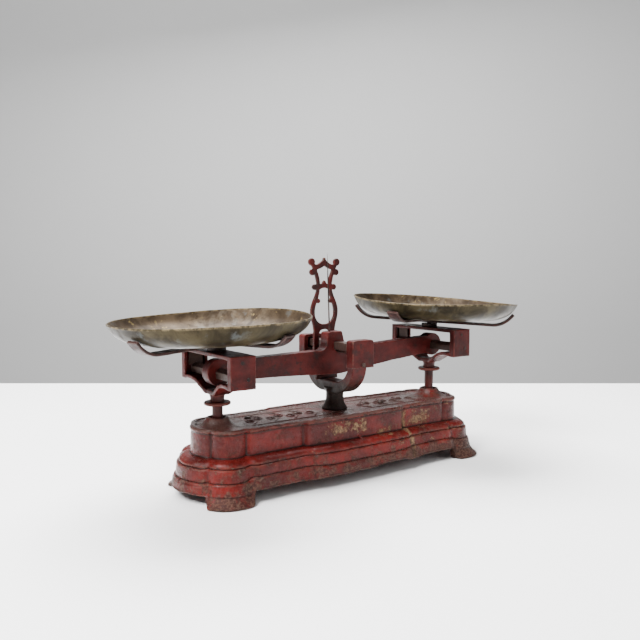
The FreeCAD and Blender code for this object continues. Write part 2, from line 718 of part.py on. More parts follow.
def export():
    """Write each sub-part, once every feature is known to be sound."""
    for thing in doc.Objects:
        if {"Invalid", "Error"} & set(thing.State):
            raise RuntimeError(f"{thing.Name} ({thing.Label}) failed")
    for part in subparts:
        if part.Shape.isNull() or not part.Shape.isValid():
            raise RuntimeError(f"{part.Label} has no sound shape")
    os.makedirs("parts", exist_ok=True)
    for part in subparts:
        part.Shape.exportStep(os.path.join("parts", f"{part.Label}.step"))
        print(f"{part.Label:24s} {len(part.Shape.Solids)} solid(s) {part.Shape.Volume:12.1f} mm3")


main()
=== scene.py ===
"""Looks of the bench scale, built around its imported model. Lengths are in metres, and those of the
base casting, its ornament and the pans are in millimetres until a mesh is made from them.

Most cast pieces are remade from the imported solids, with softened edges and a sand-cast surface. The base
casting, its raised ornament and the pans are built here. Each material has its own function.
"""

import itertools
import json
import math

import bmesh
import bpy
import numpy as np
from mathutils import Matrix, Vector, noise

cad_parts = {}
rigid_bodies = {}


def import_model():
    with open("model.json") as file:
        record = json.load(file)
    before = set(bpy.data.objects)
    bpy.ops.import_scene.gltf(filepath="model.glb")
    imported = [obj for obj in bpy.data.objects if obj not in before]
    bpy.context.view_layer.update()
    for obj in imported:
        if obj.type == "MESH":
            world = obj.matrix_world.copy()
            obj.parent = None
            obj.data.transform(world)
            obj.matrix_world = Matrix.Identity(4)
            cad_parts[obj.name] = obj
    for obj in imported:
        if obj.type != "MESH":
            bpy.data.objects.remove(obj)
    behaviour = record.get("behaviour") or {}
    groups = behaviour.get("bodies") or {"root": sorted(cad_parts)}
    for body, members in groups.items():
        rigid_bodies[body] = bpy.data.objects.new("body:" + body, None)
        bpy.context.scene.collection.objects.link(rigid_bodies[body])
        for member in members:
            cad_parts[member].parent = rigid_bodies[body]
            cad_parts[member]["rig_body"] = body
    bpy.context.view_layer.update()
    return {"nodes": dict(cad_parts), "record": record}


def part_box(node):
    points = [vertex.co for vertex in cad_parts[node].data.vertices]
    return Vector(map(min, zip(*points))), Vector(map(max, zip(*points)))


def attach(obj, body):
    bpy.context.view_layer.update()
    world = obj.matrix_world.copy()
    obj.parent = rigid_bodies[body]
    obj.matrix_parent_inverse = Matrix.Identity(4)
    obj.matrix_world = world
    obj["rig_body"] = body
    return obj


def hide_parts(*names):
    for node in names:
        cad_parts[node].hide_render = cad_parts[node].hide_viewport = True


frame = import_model()
nodes = frame["nodes"]
mounts = {mount["name"]: mount for mount in frame["record"]["mounts"]}

MM = 0.001

# Camera: degrees to the right of +Y, degrees below level, millimetres
CAMERA_PLACE = (-0.6224, -0.8358, 0.30665)
CAMERA_HEADING = 35.44
CAMERA_DROP = 4.29
CAMERA_LENS = 38.55
CAMERA_SENSOR = 36

# Stage, in the camera's heading: the plinth's back edge and the wall's face
PLINTH_BACK = 0.775
WALL_PLACE = 2.6
PLINTH_GREY = 0.93
WALL_GREY = 0.46
WORLD_LOW, WORLD_HIGH = 0.50, 0.26

# Lamps: name, place, size, power in watts
LAMP_TARGET = (0, 0, 0.15)
LAMPS = (("key", (-1.7, -0.5, 2.0), (1.2, 1.2), 185),
         ("top", (0.3, 0.9, 2.3), (2.0, 1.4), 250),
         ("fill", (1.4, -2.0, 1.3), (1.5, 1.5), 20))

# ------------------------------------------------------------------ shader helpers


class Shader:
    """A material's node tree, with one method for each kind of node that is used."""

    def __init__(self, name):
        self.material = bpy.data.materials.new(name)
        self.material.use_nodes = True
        self.tree = self.material.node_tree
        self.surface = self.tree.nodes["Principled BSDF"]
        self.place = self.add("ShaderNodeTexCoord").outputs["Object"]

    def add(self, kind, **settings):
        node = self.tree.nodes.new(kind)
        for name, value in settings.items():
            setattr(node, name, value)
        return node

    def put(self, socket, value):
        """Link a socket, or set it where the value is a plain one."""
        if isinstance(value, bpy.types.NodeSocket):
            self.tree.links.new(value, socket)
        else:
            socket.default_value = value

    def noise(self, scale, detail=5.0, roughness=0.55, warp=0.0, stretch=None):
        node = self.add("ShaderNodeTexNoise")
        place = self.stretched(stretch) if stretch else self.place
        self.put(node.inputs["Vector"], place)
        self.put(node.inputs["Scale"], scale)
        self.put(node.inputs["Detail"], detail)
        self.put(node.inputs["Roughness"], roughness)
        self.put(node.inputs["Distortion"], warp)
        return node.outputs["Fac"]

    def stretched(self, scale):
        node = self.add("ShaderNodeMapping")
        self.put(node.inputs["Vector"], self.place)
        self.put(node.inputs["Scale"], scale)
        return node.outputs["Vector"]

    def step(self, value, low, high, bottom=0.0, top=1.0):
        """A smooth step: bottom where the value is under low, top where it is over high."""
        node = self.add("ShaderNodeMapRange", interpolation_type="SMOOTHSTEP")
        for name, given in (("Value", value), ("From Min", low), ("From Max", high),
                            ("To Min", bottom), ("To Max", top)):
            self.put(node.inputs[name], given)
        return node.outputs["Result"]

    def math(self, operation, a, b=0.0):
        node = self.add("ShaderNodeMath", operation=operation)
        self.put(node.inputs[0], a)
        self.put(node.inputs[1], b)
        return node.outputs["Value"]

    def product(self, *values):
        result = values[0]
        for value in values[1:]:
            result = self.math("MULTIPLY", result, value)
        return result

    def total(self, *values):
        result = values[0]
        for value in values[1:]:
            result = self.math("ADD", result, value)
        return result

    def mix(self, share, first, second):
        """Between two colours."""
        node = self.add("ShaderNodeMix", data_type="RGBA")
        for socket, value in ((0, share), (6, first), (7, second)):
            if isinstance(value, tuple):
                value = (*value, 1.0)
            self.put(node.inputs[socket], value)
        return node.outputs[2]

    def attribute(self, name):
        return self.add("ShaderNodeAttribute", attribute_name=name).outputs["Fac"]

    def axis(self, name):
        node = self.add("ShaderNodeSeparateXYZ")
        self.put(node.inputs["Vector"], self.place)
        return node.outputs[name]

    def bump(self, height, depth):
        node = self.add("ShaderNodeBump")
        self.put(node.inputs["Distance"], depth)
        self.put(node.inputs["Height"], height)
        self.put(self.surface.inputs["Normal"], node.outputs["Normal"])

    def finish(self, **sockets):
        for name, value in sockets.items():
            socket = self.surface.inputs[name.replace("_", " ")]
            if isinstance(value, tuple):
                value = (*value, 1.0)
            self.put(socket, value)
        return self.material


# ------------------------------------------------------------------ materials


def worn_enamel(name, dark, light, rubbed, chip_share, stain_share, grease=None):
    """Old enamel over cast iron: stains, chips, rubbed edges lightened partly as a painted highlight,
    painted shade in creases, and black grease under a given height.
    """
    s = Shader(name)
    edge, hollow = s.attribute("edge"), s.attribute("hollow")
    grain = s.noise(420, 4, 0.6)
    paint = s.mix(s.step(s.noise(22, 5, 0.6), 0.38, 0.66), dark, light)
    paint = s.mix(s.product(s.step(grain, 0.55, 0.8), 0.25), paint, rubbed)
    # Convex edges take the rubbed colour: partly rubbed wear, partly a painted highlight.
    worn_edge = s.product(s.step(edge, 0.25, 0.9), s.step(s.noise(130, 5), 0.35, 0.65), 0.6)
    paint = s.mix(worn_edge, paint, rubbed)
    stain = s.step(s.noise(60, 8, 0.68, 0.4), 0.60 - stain_share, 0.70 - stain_share)
    paint = s.mix(s.product(stain, 0.78), paint, (0.014, 0.007, 0.006))
    wear = s.total(s.noise(170, 9, 0.72, 0.3), s.product(edge, 0.12))
    chip = s.step(wear, 0.69 - chip_share, 0.73 - chip_share)
    paint = s.mix(chip, paint, s.mix(s.noise(500), (0.025, 0.014, 0.012), (0.12, 0.08, 0.06)))
    # Painted shade: creases, given by the hollow attribute, darkened nearly to black.
    paint = s.mix(s.product(s.step(hollow, 0.1, 0.8), 0.75), paint, (0.012, 0.006, 0.005))
    if grease is not None:
        height = s.total(s.axis("Z"), s.product(s.noise(50, 6), 0.03))
        black = s.mix(s.step(grain, 0.4, 0.7), (0.008, 0.006, 0.005), (0.030, 0.018, 0.013))
        paint = s.mix(s.product(s.step(height, grease + 0.025, grease), 0.9), paint, black)
    roughness = s.total(s.step(s.noise(90, 6), 0.3, 0.75, 0.34, 0.60), s.product(chip, 0.18))
    s.bump(s.total(s.product(s.noise(300, 5), 0.6), s.product(s.noise(900, 3), 0.25),
                   s.product(chip, -0.45)), 0.5 * MM)
    return s.finish(Base_Color=paint, Roughness=roughness, Specular_IOR_Level=0.12)


def spot(s, low, high, soft):
    """One inside a block given by its lowest and highest corners, fading out over soft."""
    share = 1.0
    for name, bottom, top in zip("XYZ", low, high):
        place = s.axis(name)
        share = s.product(share, s.step(place, bottom - soft, bottom + soft),
                          s.step(place, top + soft, top - soft))
    return share


# Blocks of the base's front where filler shows: lowest corner, highest corner, softness, share
FILLER_BLOCKS = (
    ((-0.058, -0.1, 0.066), (0.018, -0.04, 0.086), 0.010, 0.17),
    ((0.088, -0.1, 0.018), (0.098, -0.04, 0.088), 0.006, 0.20),
    ((0.110, -0.1, 0.060), (0.148, -0.04, 0.082), 0.010, 0.135),
    ((0.035, -0.1, 0.057), (0.064, -0.04, 0.067), 0.006, 0.15))


def sound_enamel(s, edge, grain):
    """Two reds with dark streaks and speckles, and edges worn brown or burnt black."""
    tone = s.step(s.noise(17, 6, 0.62), 0.36, 0.64)
    paint = s.mix(tone, (0.040, 0.0038, 0.0032), (0.112, 0.0086, 0.0068))
    streaks = s.noise(30, 7, 0.7, 0.2, (1, 1, 5))
    paint = s.mix(s.product(s.step(streaks, 0.48, 0.66), 0.6), paint, (0.026, 0.007, 0.0055))
    speckle = s.product(s.step(s.noise(210, 7, 0.75), 0.53, 0.62), 0.55)
    paint = s.mix(speckle, paint, s.mix(s.noise(90), (0.018, 0.006, 0.005), (0.16, 0.035, 0.026)))
    paint = s.mix(s.product(s.step(grain, 0.56, 0.75), 0.3), paint, (0.20, 0.045, 0.035))
    worn_edge = s.product(s.step(edge, 0.2, 0.8), s.step(s.noise(70, 6, 0.65), 0.34, 0.58))
    paint = s.mix(s.product(worn_edge, 0.5), paint, (0.115, 0.042, 0.028))
    burnt = s.product(s.step(edge, 0.15, 0.7), s.step(s.noise(95, 7, 0.7), 0.52, 0.60))
    return s.mix(burnt, paint, (0.014, 0.008, 0.007))


def filler_share(s, right):
    """Where pale filler shows: in four blocks of the front, and here and there to the right."""
    patches = [s.product(spot(s, low, high, soft), share) for low, high, soft, share in FILLER_BLOCKS]
    worn = s.total(s.noise(95, 10, 0.78, 0.7), s.product(right, 0.055), s.total(*patches))
    return s.step(worn, 0.635, 0.665)


def base_enamel():
    """The base's brick-red enamel: filler showing to the right, iron at chips, rust low down, and painted
    shade in creases.
    """
    s = Shader("base_enamel")
    edge, hollow = s.attribute("edge"), s.attribute("hollow")
    along, up = s.axis("X"), s.axis("Z")
    grain = s.noise(380, 5, 0.65)
    paint = sound_enamel(s, edge, grain)
    right = s.step(along, -0.03, 0.12)
    filler = filler_share(s, right)
    beige = s.step(s.noise(330, 5, 0.7), 0.40, 0.62)
    beige = s.mix(beige, (0.045, 0.026, 0.018), (0.26, 0.165, 0.085))
    paint = s.mix(s.product(filler, 0.85), paint, beige)

    low = s.product(s.step(up, 0.052, 0.004), s.total(0.8, s.product(right, 0.6)))
    rust = s.step(s.total(s.noise(58, 9, 0.76), s.product(low, 0.19)), 0.55, 0.63)
    crumbs = s.step(s.noise(300, 6, 0.7), 0.42, 0.62)
    rusty = s.mix(crumbs, (0.018, 0.008, 0.006), (0.105, 0.058, 0.040))
    paint = s.mix(s.product(rust, 0.8), paint, rusty)

    chips = s.total(s.noise(150, 9, 0.74, 0.3), s.product(edge, 0.06), s.product(right, 0.02))
    chip = s.step(chips, 0.635, 0.66)
    paint = s.mix(chip, paint, s.mix(s.noise(600), (0.018, 0.012, 0.010), (0.14, 0.10, 0.075)))
    crust = s.product(s.step(up, 0.0900, 0.0925), s.step(s.noise(40, 7, 0.65), 0.36, 0.6), 0.9)
    paint = s.mix(crust, paint, s.mix(grain, (0.020, 0.009, 0.008), (0.10, 0.055, 0.045)))
    # Painted shade: creases, given by the hollow attribute, darkened nearly to black.
    paint = s.mix(s.product(s.step(hollow, 0.1, 0.6), 0.9), paint, (0.012, 0.0045, 0.0035))

    roughness = s.total(s.step(s.noise(70, 6), 0.3, 0.75, 0.20, 0.40), s.product(chip, 0.2),
                        s.product(filler, 0.3), s.product(rust, 0.22))
    s.bump(s.total(s.product(s.noise(130, 6, 0.6), 1.3), s.product(s.noise(420, 5), 0.7),
                   s.product(chip, -0.5), s.product(filler, -0.3), s.product(rust, crumbs, 0.5)),
           0.8 * MM)
    return s.finish(Base_Color=paint, Roughness=roughness, Specular_IOR_Level=0.15)


def bare_iron(name, dark, light, rust, rubbed=(0.10, 0.065, 0.055)):
    """Blackened iron with grease, a little rust, and painted shade in creases."""
    s = Shader(name)
    edge, hollow = s.attribute("edge"), s.attribute("hollow")
    metal = s.mix(s.step(s.noise(45, 7, 0.65), 0.35, 0.7), dark, light)
    metal = s.mix(s.product(s.step(s.noise(140, 8, 0.7), 0.52, 0.68), 0.6), metal, rust)
    metal = s.mix(s.product(s.step(edge, 0.25, 0.9), s.noise(120, 6), 0.8), metal, rubbed)
    # Painted shade: creases, given by the hollow attribute, darkened nearly to black.
    metal = s.mix(s.product(s.step(hollow, 0.1, 0.8), 0.7), metal, (0.010, 0.006, 0.005))
    roughness = s.step(s.noise(80, 6), 0.3, 0.7, 0.32, 0.59)
    s.bump(s.total(s.product(s.noise(330, 5), 0.6), s.product(s.noise(1000, 3), 0.3)), 0.4 * MM)
    return s.finish(Base_Color=metal, Roughness=roughness, Specular_IOR_Level=0.14)


def old_steel():
    """Worked steel gone brown: knives, bearings, pins and screws."""
    s = Shader("old_steel")
    metal = s.mix(s.noise(180, 7, 0.7), (0.020, 0.011, 0.009), (0.065, 0.040, 0.033))
    metal = s.mix(s.step(s.noise(90, 8, 0.72), 0.55, 0.7), metal, (0.045, 0.018, 0.011))
    s.bump(s.noise(900, 4), 0.2 * MM)
    roughness = s.step(s.noise(300), 0.3, 0.7, 0.3, 0.55)
    return s.finish(Base_Color=metal, Roughness=roughness, Metallic=0.3, Specular_IOR_Level=0.15)


def painted_glint_streaks(s, middle):
    """How bright the painted highlight streaks out from a pan's middle are, a painted reflection of the
    lamps, strongest to the rear right.
    """
    away = s.add("ShaderNodeVectorMath", operation="SUBTRACT")
    s.put(away.inputs[0], s.place)
    s.put(away.inputs[1], middle)
    split = s.add("ShaderNodeSeparateXYZ")
    s.put(split.inputs["Vector"], away.outputs["Vector"])
    turn = s.math("ARCTAN2", split.outputs["Y"], split.outputs["X"])
    polar = s.add("ShaderNodeCombineXYZ")
    s.put(polar.inputs["X"], s.math("SINE", turn))
    s.put(polar.inputs["Y"], s.math("COSINE", turn))
    s.put(polar.inputs["Z"], s.product(split.outputs["Z"], 6.0))
    glint_noise = s.add("ShaderNodeTexNoise")
    s.put(glint_noise.inputs["Vector"], polar.outputs["Vector"])
    s.put(glint_noise.inputs["Scale"], 14.0)
    s.put(glint_noise.inputs["Detail"], 6.0)
    glint_share = s.step(glint_noise.outputs["Fac"], 0.45, 0.66)
    # The painted highlight is strongest to the rear right, where the lamps show in the brass.
    lit = s.step(s.math("COSINE", s.math("SUBTRACT", turn, math.radians(48))), 0.80, 1.0)
    return s.product(glint_share, lit)


def aged_brass(name, middle):
    """Spun brass with an olive-brown skin, browner inside, with speckles, a rubbed rim and painted
    highlight streaks inside.
    """
    s = Shader(name)
    inside, rim = s.attribute("inside"), s.attribute("rim")
    cloud = s.noise(26, 7, 0.62, 0.6)
    spots = s.noise(110, 8, 0.7, 0.4)
    inner = s.mix(s.step(cloud, 0.35, 0.68), (0.022, 0.014, 0.008), (0.068, 0.047, 0.028))
    # Painted highlight: pale streaks inside the pan stand in for the lamps' reflection.
    inner = s.mix(s.product(painted_glint_streaks(s, middle), 0.15), inner, (0.22, 0.18, 0.13))
    outer = s.mix(s.step(cloud, 0.38, 0.66), (0.012, 0.009, 0.005), (0.048, 0.038, 0.020))
    metal = s.mix(inside, outer, inner)
    tarnish = s.step(spots, 0.55, 0.68)
    metal = s.mix(s.product(tarnish, 0.7), metal, (0.026, 0.017, 0.010))
    yellow = s.product(s.step(s.noise(60, 8, 0.7, 0.8), 0.60, 0.68), inside, 0.55)
    metal = s.mix(yellow, metal, (0.30, 0.22, 0.085))
    blue = s.product(s.step(s.noise(38, 6, 0.6), 0.58, 0.72), 0.45)
    metal = s.mix(blue, metal, (0.09, 0.10, 0.10))
    metal = s.mix(s.product(rim, s.step(spots, 0.4, 0.6), 0.35), metal, (0.36, 0.27, 0.15))
    roughness = s.total(s.step(s.noise(55, 7, 0.65), 0.3, 0.72, 0.28, 0.46), s.product(tarnish, 0.15),
                        s.product(inside, 0.12))
    s.bump(s.total(s.product(s.noise(14, 3), 2.0), s.product(s.noise(240, 5), 0.12)), 0.5 * MM)
    return s.finish(Base_Color=metal, Roughness=roughness, Metallic=0.25, Specular_IOR_Level=0.06)


def make_materials():
    maroon = {"dark": (0.021, 0.0030, 0.0027), "light": (0.062, 0.0062, 0.0052),
              "rubbed": (0.105, 0.026, 0.021)}
    return {
        "base_paint": base_enamel(),
        "beam_paint": worn_enamel("beam_enamel", chip_share=0.0, stain_share=0.03, **maroon),
        "frame_paint": worn_enamel("frame_enamel", chip_share=0.03, stain_share=0.12, **maroon),
        "fork_iron": worn_enamel("fork_enamel", chip_share=0.03, stain_share=0.08, grease=0.140,
                                 **maroon),
        "dark_iron": bare_iron("greased_iron", (0.010, 0.006, 0.005), (0.036, 0.016, 0.012),
                               (0.060, 0.012, 0.009)),
        "turned_iron": bare_iron("turned_iron", (0.022, 0.0055, 0.0045), (0.060, 0.011, 0.009),
                                 (0.095, 0.010, 0.008), (0.12, 0.04, 0.03)),
        "rivet_iron": bare_iron("rivet_iron", (0.010, 0.005, 0.004), (0.03, 0.012, 0.010),
                                (0.05, 0.015, 0.012)),
        "strap_iron": bare_iron("strap_iron", (0.010, 0.006, 0.006), (0.034, 0.012, 0.010),
                                (0.075, 0.014, 0.011)),
        "steel": old_steel(),
        "left_brass": aged_brass("left_brass", mounts["left_pan_floor"]["pos_m"]),
        "right_brass": aged_brass("right_brass", mounts["right_pan_floor"]["pos_m"]),
    }


# ------------------------------------------------------------------ mesh helpers


def link(name, mesh):
    piece = bpy.data.objects.new(name, mesh)
    bpy.context.scene.collection.objects.link(piece)
    return piece


def evaluated(piece):
    """The mesh with its modifiers applied."""
    graph = bpy.context.evaluated_depsgraph_get()
    return bpy.data.meshes.new_from_object(piece.evaluated_get(graph))


def read_points(mesh):
    points = np.empty(len(mesh.vertices) * 3)
    mesh.vertices.foreach_get("co", points)
    return points.reshape(-1, 3)


def read_normals(mesh):
    normals = np.empty(len(mesh.vertices) * 3)
    mesh.vertices.foreach_get("normal", normals)
    return normals.reshape(-1, 3)


def read_edges(mesh):
    edges = np.empty(len(mesh.edges) * 2, dtype=np.int64)
    mesh.edges.foreach_get("vertices", edges)
    return edges.reshape(-1, 2)


def neighbour_mean(values, edges):
    """Each vertex's mean over its neighbours."""
    ends = np.concatenate((edges[:, 0], edges[:, 1]))
    others = np.concatenate((edges[:, 1], edges[:, 0]))
    count = np.maximum(np.bincount(ends, minlength=len(values)), 1)
    sums = [np.bincount(ends, values[others, k], len(values)) for k in range(values.shape[1])]
    return np.stack(sums, 1) / count[:, None]


def relax(points, edges, rounds):
    """Smooth without shrinking: each round pulls in and then pushes back."""
    for _ in range(rounds):
        for share in (0.6, -0.61):
            points = points + share * (neighbour_mean(points, edges) - points)
    return points


def sand_cast(points, normals, lumps, seed):
    """Push the surface in and out a little, in broad waves and in grains."""
    shift = np.empty(len(points))
    for index, point in enumerate(points):
        place = Vector(point)
        broad = noise.noise(place * 45 + Vector((seed, 0, 0)))
        fine = noise.noise(place * 210 + Vector((0, seed, 0)))
        shift[index] = lumps * (0.65 * broad + 0.35 * fine)
    return points + normals * shift[:, None]


def write_attribute(mesh, name, values):
    layer = mesh.attributes.new(name, "FLOAT", "POINT")
    layer.data.foreach_set("value", values.astype(np.float32))


BEND_GAIN = 7.0          # from bend per millimetre to the attributes, which end at 1


def mark_edges(mesh, rounds=2):
    """Store how sharply each vertex's surroundings bend outward, and how sharply inward."""
    points, normals, edges = read_points(mesh) / MM, read_normals(mesh), read_edges(mesh)
    ends = np.concatenate((edges[:, 0], edges[:, 1]))
    others = np.concatenate((edges[:, 1], edges[:, 0]))
    spans = points[ends] - points[others]
    bends = (spans * normals[ends]).sum(1) / np.maximum((spans ** 2).sum(1), 0.04)
    count = np.maximum(np.bincount(ends, minlength=len(points)), 1)
    bend = (np.bincount(ends, bends, len(points)) / count)[:, None]
    for _ in range(rounds):
        bend = 0.5 * bend + 0.5 * neighbour_mean(bend, edges)
    write_attribute(mesh, "edge", np.clip(bend[:, 0] * BEND_GAIN, 0, 1))
    write_attribute(mesh, "hollow", np.clip(-bend[:, 0] * BEND_GAIN, 0, 1))


def smooth_shaded(mesh):
    mesh.polygons.foreach_set("use_smooth", [True] * len(mesh.polygons))
    mesh.update()


def finish_piece(piece, body, slot, *replaced, look=None):
    piece.data.materials.clear()
    piece.data.materials.append(materials[look or slot])
    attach(piece, body)
    if replaced:
        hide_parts(*replaced)
    return piece


def reshape(mesh, points):
    mesh.vertices.foreach_set("co", points.ravel())
    mesh.update()


def cast_copy(node, voxel, lumps, slot, look=None):
    """A node's solid remade with soft edges and an uneven cast skin."""
    draft = link("draft", nodes[node].data.copy())
    remesh = draft.modifiers.new("voxels", "REMESH")
    remesh.mode = "VOXEL"
    remesh.voxel_size = voxel
    mesh = evaluated(draft)
    bpy.data.objects.remove(draft)
    points = relax(read_points(mesh), read_edges(mesh), 3)
    reshape(mesh, points)
    reshape(mesh, sand_cast(points, read_normals(mesh), lumps, 1))
    mark_edges(mesh)
    smooth_shaded(mesh)
    piece = link(node + "_cast", mesh)
    return finish_piece(piece, nodes[node]["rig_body"], slot, node, look=look)


# ------------------------------------------------------------------ base casting

SKIRT_GROWTH = 26.5
COLLAR_RISE = 10.5
BASE_HIGH = tuple(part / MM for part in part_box("base_casting")[1])
BASE_END = BASE_HIGH[0] - SKIRT_GROWTH
BASE_SIDE = BASE_HIGH[1] - SKIRT_GROWTH
RIM_TOP = BASE_HIGH[2] - COLLAR_RISE
PLATE_TOP = RIM_TOP - 2.0
SPINE = 180.0            # half of the line that the top plate closes in to
ARM_SPAN = 200.0         # from the middle to a collar
FAR_GROWTH = 39.0        # growth of the outer of the two plans that all rings lie between

# The plan along a long side, from the middle: the joints of its panels, the bead and the foot
PANEL_JOINTS = (93.5, 186)
PANEL_BEAD = 97
FOOT_ALONG = (183, 191)
FOOT_ACROSS = (56.5, 62)
CORNER_ALONG = (182, 200)
END_ALONG = (236, 262)

# The fold beside each end: how far back from the end, how far across, and its way out
VALLEY_BACK, VALLEY_ACROSS = 11.2, 29
VALLEY_OUT = (0.62, 0.78)

# Upper outside of the section, from the recess over the rim to the skirt: height, growth of the plan
UPPER_ROWS = (
    (92.5, -9.5), (92.5, -8.0), (92.7, -7.2), (93.4, -6.5), (94.2, -6.0), (94.6, -4.8),
    (94.7, -3.2), (94.5, -1.6), (93.9, -0.3), (93.0, 0.6), (91.8, 1.0), (90.5, 0.9), (89.4, 0.2),
    (88.9, -0.7), (88.2, -0.9), (86.0, -0.4), (83.0, -0.2), (79.0, -0.1), (75.0, 0.0), (71.0, 0.0),
    (67.0, 0.0), (63.0, 0.0), (60.5, 0.0), (59.3, 0.0), (58.6, 0.4), (58.3, 1.4), (58.4, 3.0),
    (58.3, 5.6), (57.8, 8.6), (56.8, 11.6), (55.2, 14.2), (53.2, 16.0), (51.4, 16.8), (50.2, 16.6),
    (49.5, 15.9), (49.1, 16.3), (48.9, 17.6), (48.5, 18.8), (47.6, 19.5), (46.0, 19.8),
    (43.0, 20.2), (40.0, 20.6), (37.5, 20.8), (36.0, 20.7), (35.4, 20.1), (35.0, 20.7),
    (34.6, 22.0), (33.9, 23.2), (32.8, 23.8), (31.4, 24.0))
LOWER_TOP = UPPER_ROWS[-1]
LOWER_STEPS = (0.1, 0.2, 0.3, 0.38, 0.44, 0.5, 0.56, 0.63, 0.71, 0.79, 0.87, 0.94)
INNER_ROWS = ((34.0, 14.0), (45.0, 9.0), (52.0, 1.0), (57.0, -6.5), (66.0, -7.2), (78.0, -7.8),
              (86.0, -8.0), (87.5, -9.5))
FOOT_FLARE = 13.5
ANKLE = 15.0


def arc(first, middle, last, count):
    """Points on the circle through three places, from the first up to the last, left out."""
    a, b, c = complex(*first), complex(*middle), complex(*last)
    ratio = (c - a) / (b - a)
    centre = a - (a - b) * (ratio - abs(ratio) ** 2) / 2j / ratio.imag
    sweep = np.angle((c - centre) / (a - centre))
    points = centre + (a - centre) * np.exp(1j * sweep * np.arange(count) / count)
    return np.stack((points.real, points.imag), 1)


def line(first, last, count):
    share = np.arange(count)[:, None] / count
    return np.array(first) * (1 - share) + np.array(last) * share


def plan_ring(growth):
    """The base's plan moved out by growth: one quarter of it, and then its mirror images."""
    side, end = BASE_SIDE, BASE_END
    corners = ((88, side - 1.5, 0, 1), (90.5, side - 5.5, 0, 1), (136, side - 7.5, 0, 1),
               (177, side - 5, 0, 1), (184, side - 11, 0.15, 0.95),
               (end - 27, side - 9.5, 0.49, 0.87), (end - VALLEY_BACK, VALLEY_ACROSS, *VALLEY_OUT),
               (end, 0, 1, 0))
    middle, step, hollow, shoulder, crease, lobe, valley, tip = (
        (x + growth * p, y + growth * q) for x, y, p, q in corners)
    front = arc((-middle[0], middle[1]), (0, side + growth), middle, 60)[30:]
    rounded_end = arc(valley, tip, (valley[0], -valley[1]), 40)[:20]
    quarter = np.concatenate((
        front, line(middle, step, 3), arc(step, hollow, shoulder, 28), line(shoulder, crease, 4),
        arc(crease, lobe, valley, 22), rounded_end))
    right = np.concatenate((quarter, [tip], quarter[:0:-1] * (1, -1)))
    ring = np.concatenate((right, [right[0] * (1, -1)], right[:0:-1] * (-1, 1)))
    for _ in range(2):
        ring = (np.roll(ring, 1, 0) + 3 * ring + np.roll(ring, -1, 0)) / 5
    return ring


def smooth_step(value, low, high):
    share = np.clip((value - low) / (high - low), 0, 1)
    return share * share * (3 - 2 * share)


class BasePlan:
    """What varies round the base's plan: its feet, arches, joints, folds and sagging mouldings."""

    def __init__(self):
        self.near, self.far = plan_ring(0.0), plan_ring(FAR_GROWTH)
        x, y = self.far[:, 0], self.far[:, 1]
        self.along, self.across, self.outward = np.abs(x), np.abs(y), np.sign(y)
        self.footing = smooth_step(self.along, *FOOT_ALONG) * smooth_step(self.across, *FOOT_ACROSS)
        self.ripple = np.array([noise.noise(Vector((*place, 0)) * 0.035) for place in self.far])
        self.bead = 1.3 * np.exp(-((self.along - PANEL_BEAD) / 2.6) ** 2) * self.outward
        self.groove = self.joint_groove()
        self.notch = self.end_notch()
        self.droop, self.deep_droop = self.droops()
        sole = (self.arch() + 1.4 * self.ripple) * (1 - self.footing)
        self.sole = sole + 0.25 * self.footing

    def droops(self):
        """How far the upper and the lower mouldings sink below their rows' heights."""
        corner = smooth_step(self.along, *CORNER_ALONG)
        end = smooth_step(self.along, *END_ALONG)
        return 1.2 * corner + 1.2 * end, 1.8 * smooth_step(self.along, 90, 60) + 5.0 * corner + 1.0 * end

    def arch(self):
        """Height of the skirt's edge between the feet."""
        x, y = self.far[:, 0], self.far[:, 1]
        raised = 2.2 * smooth_step(np.abs(x - 50), 40, 20) * smooth_step(-y, 40, 60)
        dip = 2.2 * smooth_step(np.abs(self.along - PANEL_BEAD), 22, 2)
        return 17.8 + raised - dip - 4.6 * smooth_step(self.along, 205, 235)

    def joint_groove(self):
        """The upright grooves between the side's panels."""
        lines = sum(np.exp(-((self.along - joint) / 2.8) ** 2) for joint in PANEL_JOINTS)
        return -2.4 * lines * self.outward * smooth_step(self.across, 60, 70)

    def end_notch(self):
        """The fold on both sides of each end."""
        along = BASE_END - VALLEY_BACK + VALLEY_OUT[0] * FAR_GROWTH
        across = VALLEY_ACROSS + VALLEY_OUT[1] * FAR_GROWTH
        fold = np.hypot(self.along - along, self.across - across)
        return -2.6 * np.exp(-(fold / 5.0) ** 2)[:, None] * np.array(VALLEY_OUT) * np.sign(self.far)

    def level(self, height, growth):
        """A ring of points at a height, with the plan moved out by growth."""
        shift = growth / FAR_GROWTH
        if np.ndim(shift):
            shift = shift[:, None]
        flat = self.near + (self.far - self.near) * shift
        return np.column_stack((flat, np.full(len(flat), 1.0) * height))


def upper_rows(plan):
    """From the recess beside the top plate, over the rim, down the panels and over the mouldings."""
    rows = []
    for height, growth in UPPER_ROWS:
        row = plan.level(height, growth)
        moulded, low = smooth_step(height, 62, 56), smooth_step(height, 47, 37)
        sinking = moulded * 0.8 * plan.ripple - moulded * (1 - low) * plan.droop
        row[:, 2] += sinking - low * plan.deep_droop
        row[:, 1] += smooth_step(height, 52, 46) * plan.bead
        row[:, 1] += smooth_step(height, 92.5, 89) * smooth_step(height, 57, 60) * plan.groove
        row[:, :2] += smooth_step(height, 94.8, 92.5) * plan.notch
        rows.append(row)
    return rows


def skirt_growth(plan, height):
    """How far out the skirt and the feet stand at a height."""
    top, grown = LOWER_TOP
    ankle = plan.footing * smooth_step(height, ANKLE + 1.0, ANKLE - 1.0)
    flare = FOOT_FLARE * plan.footing * smooth_step(height, 20, -5)
    return grown + 0.14 * (top - height) - 1.8 * ankle + flare


